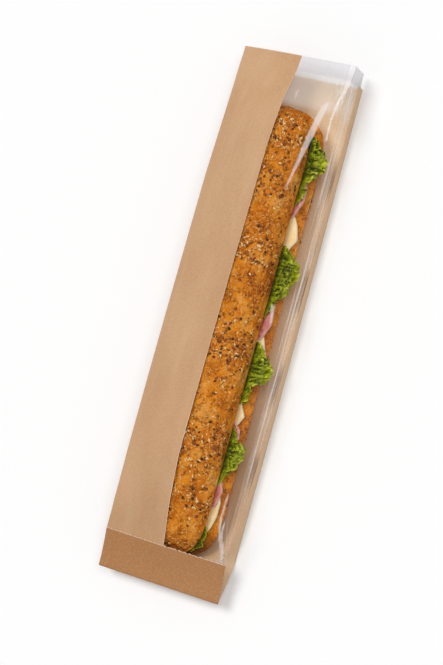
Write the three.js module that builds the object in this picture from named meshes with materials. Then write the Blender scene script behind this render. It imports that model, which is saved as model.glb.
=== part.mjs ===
// A paper bread bag with a clear film window, lying on its back with a filled baguette inside.
// Millimetres. X runs across the bag, Y from the bottom fold to the mouth, and Z is up.
import * as THREE from 'three';

// The bag
const bagWidth = 100;
const bagLength = 416;
const gussetWidth = 50;
const lipLength = 11; // the front stands this far past the back at the mouth
const turnUpLength = 31; // the bottom strip that is folded up and glued on the front
const kraftFrontShare = 0.48; // of the bag's width; film makes up the rest of the front
const paper = 0.25;
const film = 0.12;
const clearance = 0.3; // between pieces that touch
const lapWidth = 6; // the glued laps of film and paper
const returnWidth = 10; // the back panel's paper turned up the right gusset
const bottomLift = 15; // the bottom fold stands off the table
const liftReach = 38; // the back panel is down on the table from here on

// The bag's open section around the baguette
const leftDepth = 33;
const rightDepth = 46;
const leftDrawIn = 3.5; // the left front crease lies inside the back's left edge
const rightDrawIn = 2.7;
const mouthDrawIn = 2.8; // the back's edges draw in towards the mouth
const leftMouthDepth = 20;
const windowMouthDepth = 26;
const rightMouthDepth = 29;
const kraftCrown = 3.6;
const filmCrown = 1;

// The baguette, laid from the bottom of the bag upwards
const breadStart = 31;
const breadEnd = 376;
const leftRoom = 2.2; // from the left gusset's crease to the bread
const rightRoom = 13.4; // from the bag's right edge to the lower half
const topSetBack = 9; // the lower half reaches this far past the upper one
const bottomBunHeight = 19.8;
const topBunHeight = 20.2;
const bottomFullness = 0.7; // below 1 a dome is squarer than an ellipse
const topFullness = 0.92;
const topRiseReach = 90; // the upper half has its full height this far from its lower tip
const cheeseThickness = 2;
const hamThickness = 1.4;
const lettuceThickness = 1;
const lettuceRipple = 2.6;
const ripplePitch = 9;
const sliceInset = 8; // the slices' hidden edge lies this far inside the bread's left edge
const sliceLip = 2;
const bottomTipDrop = 8.5; // the baguette's lower tip sinks where the bag is flatter
const tipDropReach = 60;

// Layers worked out from the sizes above
const filmInset = paper / 2 + clearance + film / 2;
const frontToGusset = 2 * filmInset + film + clearance;
const gussetGap = paper + clearance;
const gussetToBack = 2 * filmInset;
const flatStack = frontToGusset + gussetGap + gussetToBack;
const stripOffset = paper + clearance;
const foldRadius = (flatStack + stripOffset) / 2;
const foldStart = foldRadius + paper / 2;
const halfWidth = (bagWidth - paper) / 2;
const kraftFrontWidth = bagWidth * kraftFrontShare;
const backLength = bagLength - lipLength;
const fillingHeight = cheeseThickness + hamThickness + lettuceThickness + 4 * clearance;
const innerFloor = paper + clearance;
const stackHeight = innerFloor + bottomBunHeight + fillingHeight + topBunHeight;
const windowDepth = stackHeight + clearance + filmInset + film;
const mouthStart = breadEnd - 40; // the bag gets lower from here to the mouth
const mouthTaper = 100; // the front's left crease runs back out over this length at the mouth
const evenFrom = 122; // from here to the mouth the section stays nearly the same

// The bread's edges, from the room that the gussets leave
const leftGussetHalf = (leftDepth - frontToGusset - gussetToBack - gussetGap) / 2;
const leftGussetReach = Math.sqrt((gussetWidth / 2) ** 2 - leftGussetHalf ** 2 - (leftDrawIn / 2) ** 2);
const bunLeft = -halfWidth + leftDrawIn / 2 + leftGussetReach + leftRoom;
const bottomBunRight = halfWidth - rightRoom;
const topBunRight = bottomBunRight - topSetBack;

const kraftColour = 0xcda47d;
const filmColour = 0xf2f0ec;
const bottomCrustColour = 0xb8722e;
const topCrustColour = 0xb96a26;
const cheeseColour = 0xebcd8c;
const hamColour = 0xc47a6c;
const lettuceColour = 0x7d9430;

// A smooth curve through [place, value] pairs that never overshoots them.
function through(...pairs) {
  const slopes = [];
  for (let i = 0; i + 1 < pairs.length; i += 1) {
    slopes.push((pairs[i + 1][1] - pairs[i][1]) / (pairs[i + 1][0] - pairs[i][0]));
  }
  const tangents = pairs.map((pair, i) => {
    const before = slopes[i - 1] ?? 0;
    const after = slopes[i] ?? 0;
    return before * after > 0 ? (2 * before * after) / (before + after) : 0;
  });
  return (place) => {
    const last = pairs.length - 1;
    if (place <= pairs[0][0]) return pairs[0][1];
    if (place >= pairs[last][0]) return pairs[last][1];
    const i = pairs.findIndex((pair, k) => k < last && place < pairs[k + 1][0]);
    const span = pairs[i + 1][0] - pairs[i][0];
    const t = (place - pairs[i][0]) / span;
    const rise = pairs[i + 1][1] - pairs[i][1];
    const ease = t * t * (3 - 2 * t);
    const lead = span * tangents[i] * t * (1 - t) * (1 - t);
    const trail = span * tangents[i + 1] * t * t * (1 - t);
    return pairs[i][1] + rise * ease + lead - trail;
  };
}

// How the bag's corners run from the bottom fold to the mouth
const backHeight = through(
  [foldStart, bottomLift],
  [12, bottomLift * 0.6],
  [25, bottomLift * 0.2],
  [liftReach, 0],
);
const flatTop = bottomLift + flatStack;
const leftHeight = through(
  [foldStart, flatTop],
  [turnUpLength, flatTop + 4],
  [60, leftDepth - 3],
  [100, leftDepth],
  [mouthStart - 30, leftDepth],
  [bagLength, leftMouthDepth],
);
const windowHeight = through(
  [foldStart, flatTop],
  [turnUpLength, flatTop + 6.5],
  [67, windowDepth - 9],
  [112, windowDepth],
  [mouthStart, windowDepth],
  [breadEnd - 4, windowDepth - 5],
  [bagLength, windowMouthDepth],
);
const rightHeight = through(
  [foldStart, flatTop],
  [turnUpLength, flatTop + 4.5],
  [46, rightDepth - 14],
  [60, rightDepth - 6],
  [90, rightDepth - 1.5],
  [130, rightDepth],
  [mouthStart - 6, rightDepth],
  [breadEnd - 6, rightDepth - 5],
  [bagLength, rightMouthDepth],
);
const backHalfWidth = through(
  [110, halfWidth],
  [backLength - 10, halfWidth - mouthDrawIn + 0.5],
  [bagLength, halfWidth - mouthDrawIn],
);
const leftFrontIn = through(
  [turnUpLength, 0],
  [90, leftDrawIn],
  [bagLength - mouthTaper, leftDrawIn],
  [bagLength, 0.5],
);
const rightFrontIn = through(
  [turnUpLength, 0],
  [100, rightDrawIn],
  [bagLength - 60, rightDrawIn],
  [bagLength, 0.5],
);
const rightFoldIn = through([foldStart, gussetWidth / 2], [16, 20], [30, 11], [44, 4], [64, 1.4], [110, 0.8]);
const crown = through([turnUpLength, 0], [80, 0.7], [130, 1], [mouthStart, 1], [bagLength, 0.2]);
const windowShift = through([turnUpLength, 0], [220, 1], [bagLength - 46, 2.6], [bagLength, 3]);

// Points from one corner to the next, both left out, with a sine crown at right angles to the line.
function between(from, to, count, rise = 0) {
  const points = [];
  const length = Math.hypot(to[0] - from[0], to[1] - from[1]);
  const side = [-(to[1] - from[1]) / length, (to[0] - from[0]) / length];
  for (let i = 1; i <= count; i += 1) {
    const t = i / (count + 1);
    const lift = rise * Math.sin(Math.PI * t);
    points.push([
      from[0] + (to[0] - from[0]) * t + side[0] * lift,
      from[1] + (to[1] - from[1]) * t + side[1] * lift,
    ]);
  }
  return points;
}

function toward(from, to, distance) {
  const length = Math.hypot(to[0] - from[0], to[1] - from[1]);
  return [from[0] + ((to[0] - from[0]) * distance) / length, from[1] + ((to[1] - from[1]) * distance) / length];
}

const filmFrontPoints = 5;
const kraftFrontPoints = 4;
const gussetPoints = 2;

// The tube's section at one place: the ring of points that both sheets share.
function tubeSection(y) {
  const side = backHalfWidth(y);
  const back = backHeight(y) + paper / 2;
  const leftFront = [-side + leftFrontIn(y), leftHeight(y) + paper / 2];
  const rightFront = [side - rightFrontIn(y), rightHeight(y) + paper / 2];
  const windowEdge = [-halfWidth + kraftFrontWidth + windowShift(y) + 1, windowHeight(y) + paper / 2];
  const leftTop = [leftFront[0], leftFront[1] - frontToGusset];
  const rightTop = [rightFront[0], rightFront[1] - frontToGusset];
  const leftLow = [-side, back + gussetToBack];
  const rightLow = [side, back + gussetToBack];

  const leftHalf = Math.max((leftTop[1] - leftLow[1] - gussetGap) / 2, 0);
  const slant = (leftTop[0] - leftLow[0]) / 2;
  const reach = Math.sqrt((gussetWidth / 2) ** 2 - leftHalf ** 2 - slant ** 2);
  const leftFold = (leftTop[0] + leftLow[0]) / 2 + reach;
  const leftMid = (leftTop[1] + leftLow[1]) / 2;
  const rightFold = (rightTop[0] + rightLow[0]) / 2 - rightFoldIn(y) + rightFrontIn(y) / 2;
  const rightMid = (rightTop[1] + rightLow[1]) / 2;
  const rightMidTop = [rightFold, rightMid + gussetGap / 2];
  const rightMidLow = [rightFold, rightMid - gussetGap / 2];
  const leftMidTop = [leftFold, leftMid + gussetGap / 2];
  const leftMidLow = [leftFold, leftMid - gussetGap / 2];

  const kraftFront = between(leftFront, windowEdge, kraftFrontPoints, kraftCrown * crown(y));
  const filmFront = between(windowEdge, rightFront, filmFrontPoints, filmCrown * crown(y));
  const lapLeft = toward(windowEdge, kraftFront[kraftFrontPoints - 1], lapWidth);
  const front = [leftFront, ...kraftFront, lapLeft, windowEdge, ...filmFront, rightFront];
  const backRow = front.map((point) => {
    const t = (point[0] - leftFront[0]) / (rightFront[0] - leftFront[0]);
    return [-side + 2 * side * t, back];
  });
  return {
    film: [
      lapLeft,
      windowEdge,
      ...filmFront,
      rightFront,
      rightTop,
      ...between(rightTop, rightMidTop, gussetPoints),
      rightMidTop,
      rightMidLow,
      ...between(rightMidLow, toward(rightLow, rightMidLow, returnWidth), 1),
      toward(rightLow, rightMidLow, returnWidth),
      toward(rightLow, rightMidLow, returnWidth - lapWidth),
    ],
    turned: [
      toward(rightLow, rightMidLow, returnWidth),
      toward(rightLow, rightMidLow, returnWidth - lapWidth),
      rightLow,
      ...backRow.reverse(),
    ],
    side: [
      leftLow,
      ...between(leftLow, leftMidLow, gussetPoints),
      leftMidLow,
      leftMidTop,
      ...between(leftMidTop, leftTop, gussetPoints),
      leftTop,
      leftFront,
      ...kraftFront,
      lapLeft,
      windowEdge,
    ],
    front,
  };
}

const frontPoints = tubeSection(foldStart).front.length;

// Places along the bag where the section is taken
const stations = [foldStart, 5, 10, 16, 22, 27, turnUpLength, 36, 42, 50, 60, 72, 86, 102, evenFrom];
const evenSteps = 5;
const evenEnd = mouthStart - 4;
for (let step = 1; step <= evenSteps; step += 1) {
  stations.push(evenFrom + ((evenEnd - evenFrom) * step) / evenSteps);
}
stations.push(mouthStart + 8, mouthStart + 20, mouthStart + 32, breadEnd + 6, bagLength - 21, backLength);
stations.push(bagLength - lipLength / 2, bagLength);

const place = (points, y) => points.map((point) => new THREE.Vector3(point[0], y, point[1]));

const damping = 0.02; // keeps the offset finite where the faces are nearly parallel

// The offset that moves a vertex by one unit along every face that meets there.
function offsetAt(normals) {
  const sums = [damping, 0, 0, damping, 0, damping];
  const target = new THREE.Vector3();
  for (const n of normals) {
    sums[0] += n.x * n.x;
    sums[1] += n.x * n.y;
    sums[2] += n.x * n.z;
    sums[3] += n.y * n.y;
    sums[4] += n.y * n.z;
    sums[5] += n.z * n.z;
    target.add(n);
  }
  const matrix = new THREE.Matrix3();
  matrix.set(sums[0], sums[1], sums[2], sums[1], sums[3], sums[4], sums[2], sums[4], sums[5]);
  return target.applyMatrix3(matrix.invert());
}

// One offset for each vertex of a sheet of four-cornered faces.
function sheetOffsets(vertices, faces) {
  const normals = vertices.map(() => []);
  for (const [a, b, c, d] of faces) {
    const across = vertices[c].clone().sub(vertices[a]);
    const normal = across.cross(vertices[d].clone().sub(vertices[b])).normalize();
    for (const corner of [a, b, c, d]) normals[corner].push(normal);
  }
  return normals.map(offsetAt);
}

// A closed body of even thickness around a sheet, moved out by the given distance first.
function sheetBody(vertices, faces, thickness, shift = 0) {
  const offsets = sheetOffsets(vertices, faces);
  const moved = (distance) => vertices.map((v, i) => v.clone().addScaledVector(offsets[i], distance));
  const positions = [...moved(shift + thickness / 2), ...moved(shift - thickness / 2)];
  const inner = vertices.length;
  const triangles = [];
  const edges = new Map();
  for (const face of faces) {
    const [a, b, c, d] = face;
    triangles.push([a, b, c], [a, c, d]);
    triangles.push([inner + c, inner + b, inner + a], [inner + d, inner + c, inner + a]);
    face.forEach((from, k) => {
      const to = face[(k + 1) % 4];
      if (!edges.delete(`${to}-${from}`)) edges.set(`${from}-${to}`, [from, to]);
    });
  }
  for (const [from, to] of edges.values()) {
    triangles.push([from, inner + from, inner + to], [from, inner + to, to]);
  }
  return { positions, triangles };
}

function meshOf(name, body, colour, roughness, opacity = 1) {
  const geometry = new THREE.BufferGeometry();
  const numbers = body.positions.flatMap((p) => [p.x, p.y - bagLength / 2, p.z]);
  geometry.setAttribute('position', new THREE.Float32BufferAttribute(numbers, 3));
  geometry.setIndex(body.triangles.flat());
  geometry.computeVertexNormals();
  const material = new THREE.MeshStandardMaterial({ color: colour, roughness, metalness: 0 });
  material.opacity = opacity;
  material.transparent = opacity < 1;
  const mesh = new THREE.Mesh(geometry, material);
  mesh.name = name;
  return mesh;
}

// Rows of points joined by four-cornered faces.
function gridFaces(rows, columns, keep = () => true) {
  const faces = [];
  for (let row = 0; row + 1 < rows; row += 1) {
    for (let column = 0; column + 1 < columns; column += 1) {
      if (!keep(row, column)) continue;
      const corner = row * columns + column;
      faces.push([corner, corner + 1, corner + columns + 1, corner + columns]);
    }
  }
  return faces;
}

function windowFilm() {
  const rows = stations.map((y) => place(tubeSection(y).film, y));
  const faces = gridFaces(rows.length, rows[0].length);
  return meshOf('window_film', sheetBody(rows.flat(), faces, film, -filmInset), filmColour, 0.12, 0.35);
}

// The paper: the front's left part, the left gusset, the back, its return on the right and the strip.
function kraftSheet() {
  const rows = stations.map((y) => {
    const section = tubeSection(y);
    return place([...section.turned, ...section.side], y);
  });
  const columns = rows[0].length;
  const backRows = stations.indexOf(backLength);
  const backColumns = tubeSection(backLength).turned.length;
  const faces = gridFaces(rows.length, columns, (row, column) => row < backRows || column >= backColumns);
  const vertices = rows.flat();

  const firstBack = backColumns - frontPoints; // the return and the crease come before the back's own points
  const sheetFront = stations.filter((y) => y <= turnUpLength);
  const strip = sheetFront.map((y) => place([...tubeSection(y).front].reverse(), y)).flat();
  const stripFaces = gridFaces(sheetFront.length, frontPoints);
  const stripLift = sheetOffsets(strip, stripFaces.map((face) => [...face].reverse()));
  strip.forEach((point, i) => point.addScaledVector(stripLift[i], stripOffset));

  const turnRows = [];
  const turnSteps = 6;
  for (let step = 1; step < turnSteps; step += 1) {
    const angle = (Math.PI * step) / turnSteps;
    for (let k = 0; k < frontPoints; k += 1) {
      const low = vertices[firstBack + k];
      const high = strip[k];
      const middle = low.clone().add(high).multiplyScalar(0.5);
      const radius = (high.z - low.z) / 2;
      middle.y -= radius * Math.sin(angle);
      middle.x = low.x + (high.x - low.x) * (step / turnSteps);
      middle.z -= radius * Math.cos(angle);
      turnRows.push(middle);
    }
  }
  const base = vertices.length;
  vertices.push(...turnRows, ...strip);
  const turnFaces = gridFaces(turnRows.length / frontPoints + sheetFront.length, frontPoints);
  for (const face of turnFaces) faces.push(face.map((corner) => base + corner).reverse());
  for (let k = 0; k + 1 < frontPoints; k += 1) {
    faces.push([firstBack + k + 1, firstBack + k, base + k, base + k + 1]);
  }
  return meshOf('kraft_sheet', sheetBody(vertices, faces, paper), kraftColour, 0.85);
}

// A closed body through rings of points, with a fan over each end.
function ringBody(rings) {
  const count = rings[0].length;
  const positions = rings.flat();
  const triangles = [];
  for (let row = 0; row + 1 < rings.length; row += 1) {
    for (let k = 0; k < count; k += 1) {
      const a = row * count + k;
      const b = row * count + ((k + 1) % count);
      triangles.push([a, b, b + count], [a, b + count, a + count]);
    }
  }
  for (const [ring, flip] of [[rings[0], false], [rings[rings.length - 1], true]]) {
    const centre = ring.reduce((sum, p) => sum.add(p), new THREE.Vector3()).divideScalar(count);
    const hub = positions.push(centre) - 1;
    const start = positions.indexOf(ring[0]);
    for (let k = 0; k < count; k += 1) {
      const next = start + ((k + 1) % count);
      triangles.push(flip ? [hub, start + k, next] : [hub, next, start + k]);
    }
  }
  return { positions, triangles };
}

// The baguette's cut face, its lower tip sunk towards the flat end of the bag
const tipDrop = through(
  [breadStart, bottomTipDrop],
  [breadStart + 18, bottomTipDrop * 0.62],
  [breadStart + tipDropReach, 0],
);
const cutHeight = (y) => innerFloor + bottomBunHeight - tipDrop(y);
const bunWidth = through(
  [breadStart, 0.22],
  [breadStart + 3, 0.5],
  [breadStart + 9, 0.74],
  [breadStart + 22, 0.92],
  [breadStart + 48, 1],
  [breadEnd - 40, 1],
  [breadEnd - 16, 0.86],
  [breadEnd - 6, 0.6],
  [breadEnd - 1.5, 0.36],
  [breadEnd, 0.16],
);
const topRise = through(
  [breadStart, 0.06],
  [breadStart + 8, 0.3],
  [breadStart + 28, 0.52],
  [breadStart + 58, 0.74],
  [breadStart + topRiseReach, 1],
  [breadEnd - 46, 1],
  [breadEnd - 26, 0.88],
  [breadEnd - 12, 0.68],
  [breadEnd - 4, 0.42],
  [breadEnd, 0.12],
);
const bottomFall = through(
  [breadStart, 0.15],
  [breadStart + 6, 0.7],
  [breadStart + 20, 1],
  [breadEnd - 30, 1],
  [breadEnd - 8, 0.7],
  [breadEnd, 0.12],
);
// Shares of the bread's length at which its rings lie, closest together at the two tips
const breadStations = [
  0, 1.5, 4, 9, 16, 26, 38, 52, 72, 96, 130, 170, 210, 245, 275, 301, 317, 329, 337, 342, 344, 345,
];
const domePoints = 13;

// Half a baguette: a dome on the cut face, above it or below it.
function bun(name, right, base, depthAt, fullness, colour) {
  const middle = (bunLeft + right) / 2;
  const rings = breadStations.map((share) => {
    const y = breadStart + (share * (breadEnd - breadStart)) / breadStations[breadStations.length - 1];
    const half = ((right - bunLeft) / 2) * bunWidth(y);
    const ring = [];
    for (let k = 0; k <= domePoints; k += 1) {
      const angle = (Math.PI * k) / domePoints;
      const across = Math.sign(Math.cos(angle)) * Math.abs(Math.cos(angle)) ** fullness;
      const rise = Math.max(Math.sin(angle), 0) ** fullness;
      ring.push(new THREE.Vector3(middle + half * across, y, base(y) + depthAt(y) * rise));
    }
    return ring;
  });
  const rising = depthAt(breadStart + tipDropReach) > 0;
  if (rising) rings.forEach((ring) => ring.reverse());
  return meshOf(name, ringBody(rings), colour, 0.8);
}

function lowerBun() {
  const depth = (y) => -(cutHeight(y) - backHeight(y) - innerFloor) * bottomFall(y);
  return bun('bread_bottom', bottomBunRight, cutHeight, depth, bottomFullness, bottomCrustColour);
}

function upperBun() {
  const base = (y) => cutHeight(y) + fillingHeight;
  const rise = (y) => topBunHeight * topRise(y);
  return bun('bread_top', topBunRight, base, rise, topFullness, topCrustColour);
}

const hiddenColumns = 2;
const sliceColumns = 4;
const lettuceColumns = 7;
const cheeseSteps = 8;
const hamSteps = 10;

// A slice on the cut face: its right edge follows the outline, and the height adds to its layer.
function slice(name, layer, thickness, outline, steps, columns, extra, colour, roughness) {
  const first = outline[0][0];
  const last = outline[outline.length - 1][0];
  const rows = [];
  for (let row = 0; row <= steps; row += 1) {
    const along = first + ((last - first) * row) / steps;
    const next = Math.max(outline.findIndex((pair) => pair[0] >= along), 1);
    const [from, to] = [outline[next - 1], outline[next]];
    const reach = from[1] + ((to[1] - from[1]) * (along - from[0])) / (to[0] - from[0]);
    const y = breadStart + along;
    const right = topBunRight + reach;
    const left = (bunLeft + sliceInset) * bunWidth(y);
    const hidden = Math.min(right - sliceLip, topBunRight);
    for (let column = 0; column <= columns; column += 1) {
      const outer = column - hiddenColumns;
      const x = outer > 0
        ? hidden + ((right - hidden) * outer) / (columns - hiddenColumns)
        : left + ((hidden - left) * column) / hiddenColumns;
      rows.push(new THREE.Vector3(x, y, cutHeight(y) + layer + extra(x, y)));
    }
  }
  const faces = gridFaces(steps + 1, columns + 1);
  return meshOf(name, sheetBody(rows, faces, thickness), colour, roughness);
}

const flat = () => 0;
const cheeseLayer = clearance + cheeseThickness / 2;
const hamLayer = 2 * clearance + cheeseThickness + hamThickness / 2;
const lettuceLayer = 3 * clearance + cheeseThickness + hamThickness + lettuceThickness / 2;

// Right edges of the slices as pairs: how far along the bread, and the reach past the upper half's edge
const cheeseOutlines = [
  [[17, -5.5], [33, 1.5], [47, -0.5], [75, -5.5]],
  [[76, -5.5], [100, -1.5], [110, 4.5], [121, -0.5], [137, -5.5]],
  [[138, -5.5], [147, -0.5], [158, 7.5], [186, -1.5], [209, -5.5]],
  [[210, -5.5], [237, -0.5], [248, 7.5], [263, -0.5], [329, -7.5]],
];
const hamOutlines = [
  [[21, -6.5], [41, 0.5], [57, 2.5], [69, -3.5], [77, -5.5]],
  [[78, -5.5], [89, 6.5], [104, 3.5], [119, -3.5], [145, -5.5]],
  [[146, -5.5], [169, 3.5], [192, 5.5], [205, -3.5], [231, -5.5]],
  [[232, -5.5], [254, 5.5], [277, 3.5], [293, 0.5], [331, -9.5]],
];
const lettuceOutlines = [
  [[4, -9.5], [9, -5.5], [20, -0.5], [25, -5.5]],
  [[55, -3.5], [67, 7.5], [85, 14.5], [95, 6.5], [102, -3.5]],
  [[118, -1.5], [134, 9.5], [149, 17.5], [158, 10.5], [166, -0.5]],
  [[186, -3.5], [204, 10.5], [225, 17.5], [235, 10.5], [241, -0.5]],
  [[273, -1.5], [285, 11.5], [298, 14.5], [310, 16.5], [319, 8.5], [327, -3.5]],
];

const rippleRamp = through([topBunRight + clearance, 0], [bottomBunRight, 1]);
const droop = through([bottomBunRight, 0], [bottomBunRight + 4, 1.2], [bottomBunRight + 9, 4.5]);

function lettuceShape(x, y) {
  const wave = 0.5 + 0.5 * Math.sin((2 * Math.PI * y) / ripplePitch + x * 0.12);
  return lettuceRipple * wave * rippleRamp(x) - droop(x);
}

const group = new THREE.Group();
group.add(kraftSheet(), windowFilm(), lowerBun(), upperBun());
cheeseOutlines.forEach((outline, i) => {
  const cheese = slice(
    `cheese_slice_${i + 1}`, cheeseLayer, cheeseThickness, outline, cheeseSteps, sliceColumns, flat,
    cheeseColour, 0.5,
  );
  group.add(cheese);
});
hamOutlines.forEach((outline, i) => {
  const ham = slice(
    `ham_slice_${i + 1}`, hamLayer, hamThickness, outline, hamSteps, sliceColumns, flat,
    hamColour, 0.5,
  );
  group.add(ham);
});
lettuceOutlines.forEach((outline, i) => {
  const steps = Math.round((outline[outline.length - 1][0] - outline[0][0]) / (ripplePitch / 4));
  const leaf = slice(
    `lettuce_leaf_${i + 1}`, lettuceLayer, lettuceThickness, outline, steps, lettuceColumns, lettuceShape,
    lettuceColour, 0.6,
  );
  group.add(leaf);
});

export default group;
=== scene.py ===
import math
import random

import bpy
from mathutils import Matrix, Vector, noise


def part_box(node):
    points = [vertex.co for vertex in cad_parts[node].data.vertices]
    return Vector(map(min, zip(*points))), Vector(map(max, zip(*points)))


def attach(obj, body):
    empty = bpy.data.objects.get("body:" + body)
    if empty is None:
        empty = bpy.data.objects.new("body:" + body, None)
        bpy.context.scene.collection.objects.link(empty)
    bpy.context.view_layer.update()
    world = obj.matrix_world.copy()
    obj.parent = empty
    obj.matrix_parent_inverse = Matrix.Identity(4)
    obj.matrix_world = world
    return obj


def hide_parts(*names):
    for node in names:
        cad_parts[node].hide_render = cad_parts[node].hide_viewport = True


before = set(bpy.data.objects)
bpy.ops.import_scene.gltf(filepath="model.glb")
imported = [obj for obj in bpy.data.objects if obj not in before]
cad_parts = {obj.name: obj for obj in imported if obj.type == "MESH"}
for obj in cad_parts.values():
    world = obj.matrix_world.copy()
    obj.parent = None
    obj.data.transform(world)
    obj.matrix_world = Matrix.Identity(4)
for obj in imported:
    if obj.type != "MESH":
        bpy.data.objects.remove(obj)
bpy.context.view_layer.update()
print("frame loaded")

mm = 0.001
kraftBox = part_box("kraft_sheet")
bagLength = (kraftBox[1][1] - kraftBox[0][1]) / mm
halfWidth = (kraftBox[1][0] - kraftBox[0][0]) / mm / 2


# Camera, at the angle that the bag's corners give
cameraView = {
    "fromRight": 18.98,  # degrees off the upright, towards the film side
    "fromBottom": 0.78,
    "roll": 15.47,
    "distance": 1207.6,
    "lens": 84.55,
    "aim": (-10.1, -9.9, 0),
}


def placeCamera():
    leanRight, leanDown = [math.tan(math.radians(cameraView[side])) for side in ("fromRight", "fromBottom")]
    back = Vector((leanRight, -leanDown, 1))
    back.normalize()
    right = Vector((0, 1, 0)).cross(back).normalized()
    up = back.cross(right)
    roll = math.radians(cameraView["roll"])
    across = right * math.cos(roll) + up * math.sin(roll)
    upward = up * math.cos(roll) - right * math.sin(roll)
    data = bpy.data.cameras.new("camera")
    data.lens = cameraView["lens"]
    data.clip_start = 0.05
    camera = bpy.data.objects.new("camera", data)
    bpy.context.collection.objects.link(camera)
    place = (Vector(cameraView["aim"]) + back * cameraView["distance"]) * mm
    turn = Matrix((across, upward, back)).transposed().to_4x4()
    camera.matrix_world = Matrix.Translation(place) @ turn
    bpy.context.scene.camera = camera


placeCamera()
print("camera placed")


# Helpers. Lengths in the pieces below are in mm, with y measured from the bottom fold.

def smoothCurve(*pairs):
    slopes = [(b[1] - a[1]) / (b[0] - a[0]) for a, b in zip(pairs, pairs[1:])]
    tangents = []
    for i in range(len(pairs)):
        before = slopes[i - 1] if i else 0
        after = slopes[i] if i < len(slopes) else 0
        tangents.append(2 * before * after / (before + after) if before * after > 0 else 0)

    def value(place):
        if place <= pairs[0][0]:
            return pairs[0][1]
        if place >= pairs[-1][0]:
            return pairs[-1][1]
        i = max(k for k in range(len(pairs) - 1) if pairs[k][0] <= place)
        span = pairs[i + 1][0] - pairs[i][0]
        t = (place - pairs[i][0]) / span
        ease = t * t * (3 - 2 * t)
        lead = span * tangents[i] * t * (1 - t) ** 2
        trail = span * tangents[i + 1] * t * t * (1 - t)
        return pairs[i][1] + (pairs[i + 1][1] - pairs[i][1]) * ease + lead - trail

    return value


def smoothStep(low, high, value):
    t = min(max((value - low) / (high - low), 0), 1)
    return t * t * (3 - 2 * t)


def blend(a, b, t):
    return a + (b - a) * t


def hexColour(code):
    parts = [int(code[i:i + 2], 16) / 255 for i in (1, 3, 5)]
    return tuple(c / 12.92 if c <= 0.04045 else ((c + 0.055) / 1.055) ** 2.4 for c in parts) + (1,)


def toScene(point):
    return (point[0] * mm, (point[1] - bagLength / 2) * mm, point[2] * mm)


def makePiece(name, points, faces, materials, replaced=None):
    mesh = bpy.data.meshes.new(name)
    mesh.from_pydata([toScene(p) for p in points], [], faces)
    mesh.validate()
    piece = bpy.data.objects.new(name, mesh)
    bpy.context.collection.objects.link(piece)
    for material in materials:
        mesh.materials.append(material)
    mesh.shade_smooth()
    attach(piece, "root")
    if replaced:
        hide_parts(replaced)
    return piece


def gridFaces(rows, columns, start=0, keep=None):
    faces = []
    for row in range(rows - 1):
        for column in range(columns - 1):
            if keep and not keep(row, column):
                continue
            corner = start + row * columns + column
            faces.append((corner, corner + 1, corner + columns + 1, corner + columns))
    return faces


def vertexValue(piece, name, values):
    layer = piece.data.attributes.new(name, "FLOAT", "POINT")
    layer.data.foreach_set("value", values)


def splitFolds(piece, degrees):
    # keeps folds and cut edges crisp under smooth shading
    split = piece.modifiers.new("crisp_folds", "EDGE_SPLIT")
    split.split_angle = math.radians(degrees)


def fractal(x, y, z, size, octaves=4, seed=0):
    return noise.fractal(Vector((x / size + seed * 7.3, y / size - seed * 3.1, z / size)), 0.9, 2.0, octaves)


# Material helpers

def newMaterial(name):
    material = bpy.data.materials.new(name)
    material.use_nodes = True
    material.node_tree.nodes.clear()
    return material


def addNode(material, kind, settings=None, links=None, output=0):
    # settings are the node's own properties, its sockets' values or a ramp's stops
    node = material.node_tree.nodes.new(kind)
    for key, value in (settings or {}).items():
        if key == "stops":
            elements = node.color_ramp.elements
            elements[0].position, elements[1].position = value[0][0], value[-1][0]
            elements[0].color, elements[1].color = hexColour(value[0][1]), hexColour(value[-1][1])
            for position, colour in value[1:-1]:
                elements.new(position).color = hexColour(colour)
        elif isinstance(key, str) and hasattr(node, key):
            setattr(node, key, value)
        else:
            node.inputs[key].default_value = hexColour(value) if isinstance(value, str) else value
    for key, source in (links or {}).items():
        material.node_tree.links.new(source, node.inputs[key])
    return node.outputs[output] if node.outputs else None


def layColours(material, layers):
    # the first layer is the ground, and each later one lies over it by its own pattern or vertex value
    place = addNode(material, "ShaderNodeTexCoord", output="Object")
    colour, patterns = None, {}
    for name, layer in layers.items():
        if "sizeMm" in layer:
            shifted = (layer.get("shift", 0),) * 3
            spot = addNode(
                material, "ShaderNodeMapping",
                {"Scale": layer.get("stretch", (1, 1, 1)), "Location": shifted}, {"Vector": place})
            mask = patterns[name] = addNode(
                material, "ShaderNodeTexNoise",
                {"Scale": 1 / (layer["sizeMm"] * mm), "Detail": layer.get("detail", 3),
                 "Roughness": layer.get("roughness", 0.5)},
                {"Vector": spot})
        else:
            mask = addNode(material, "ShaderNodeAttribute", {"attribute_name": name}, output="Fac")
        if "stops" in layer:
            mask = addNode(material, "ShaderNodeValToRGB", {"stops": layer["stops"]}, {"Fac": mask})
        if colour is None:
            colour = mask
        else:
            colour = addNode(
                material, "ShaderNodeMix",
                {"data_type": "RGBA", 7: layer["colour"]}, {0: mask, 6: colour}, 2)
    return colour, patterns


# The bag's sizes and the run of its corners

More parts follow.
